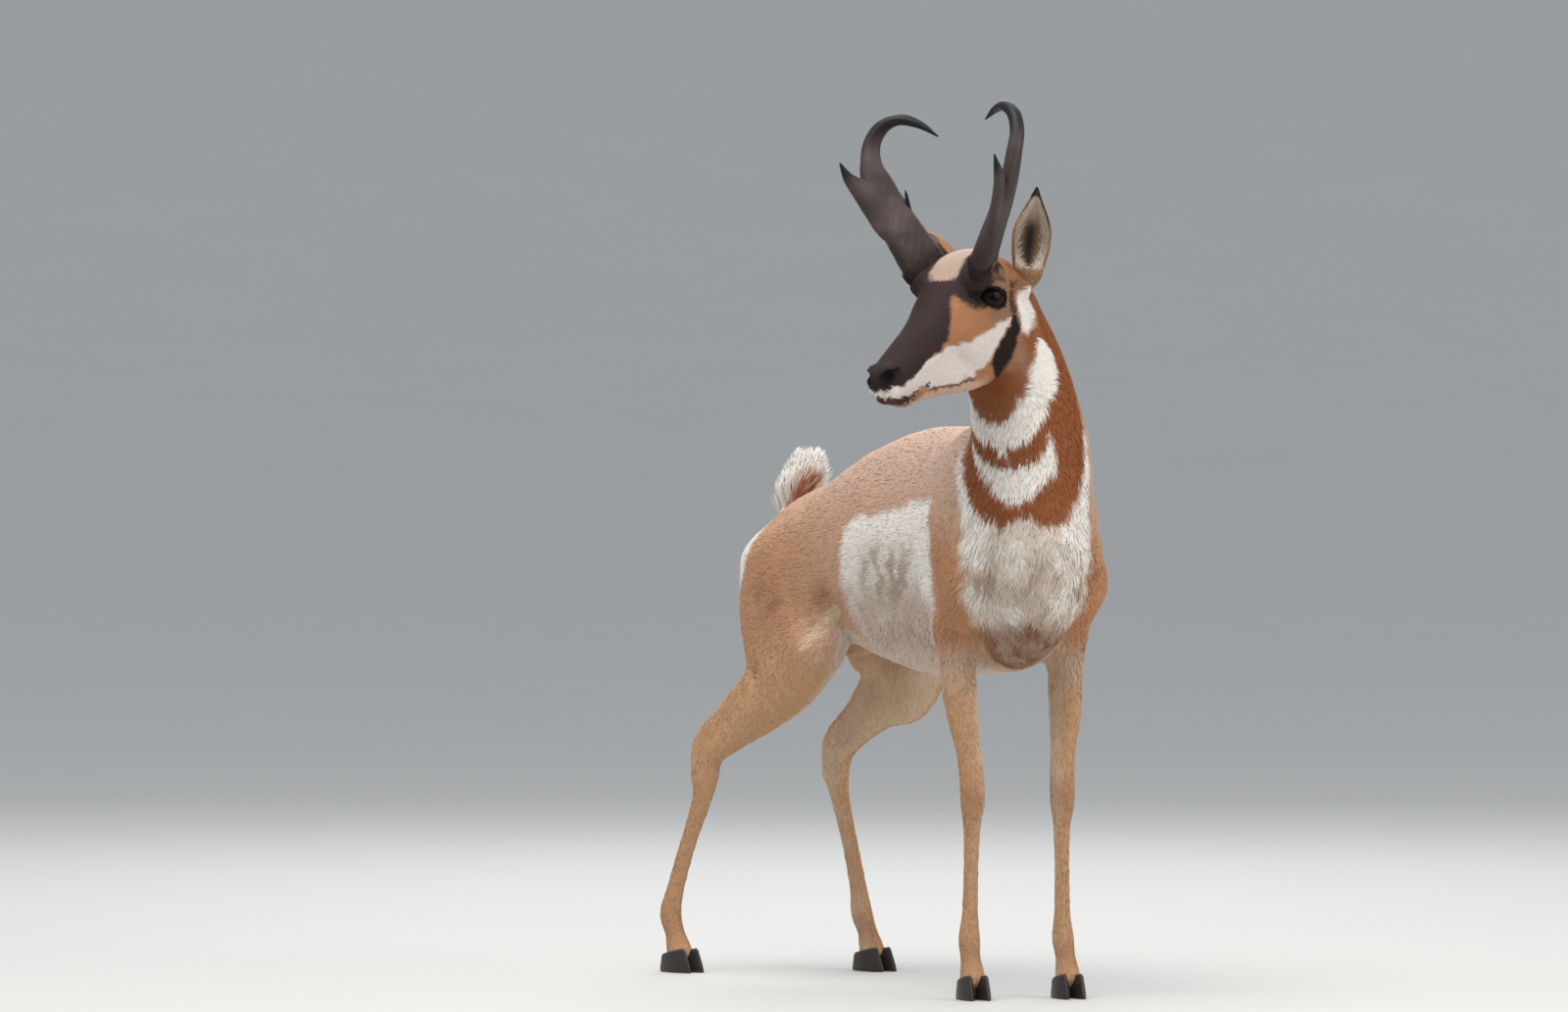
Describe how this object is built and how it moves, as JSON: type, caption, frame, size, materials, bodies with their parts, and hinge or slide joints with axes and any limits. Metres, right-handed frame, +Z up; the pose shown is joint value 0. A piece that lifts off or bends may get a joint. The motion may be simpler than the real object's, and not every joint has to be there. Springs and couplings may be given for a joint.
{
  "type": "pronghorn",
  "caption": "Life-size still model of a standing pronghorn buck looking back over its right shoulder, with pronged horns, upright ears, hooves and a raised white tail.",
  "frame": {"origin": "on the floor, below the middle of the whole outline", "axes": "+X forward along the trunk, +Y to the animal's left, +Z up"},
  "size_m": [1.1069, 0.5319, 1.3432],
  "materials": {
    "tan_coat": "short dull fur",
    "rust_coat": "short dull fur",
    "white_coat": "long soft hair",
    "horn": "ridged satin horn",
    "hoof": "satin horn",
    "eye": "wet gloss"
  },
  "bodies": {
    "root": {"head": "tan_coat", "neck": "rust_coat", "torso": "tan_coat", "foreleg_left": "tan_coat", "hoof_fore_left_outer": "hoof", "hoof_fore_left_inner": "hoof", "foreleg_right": "tan_coat", "hoof_fore_right_outer": "hoof", "hoof_fore_right_inner": "hoof", "hindleg_left": "tan_coat", "hoof_hind_left_outer": "hoof", "hoof_hind_left_inner": "hoof", "hindleg_right": "tan_coat", "hoof_hind_right_outer": "hoof", "hoof_hind_right_inner": "hoof", "eye_left": "eye", "horn_left": "horn", "ear_left": "tan_coat", "eye_right": "eye", "horn_right": "horn", "ear_right": "tan_coat", "tail": "white_coat"}
  },
  "joints": []
}
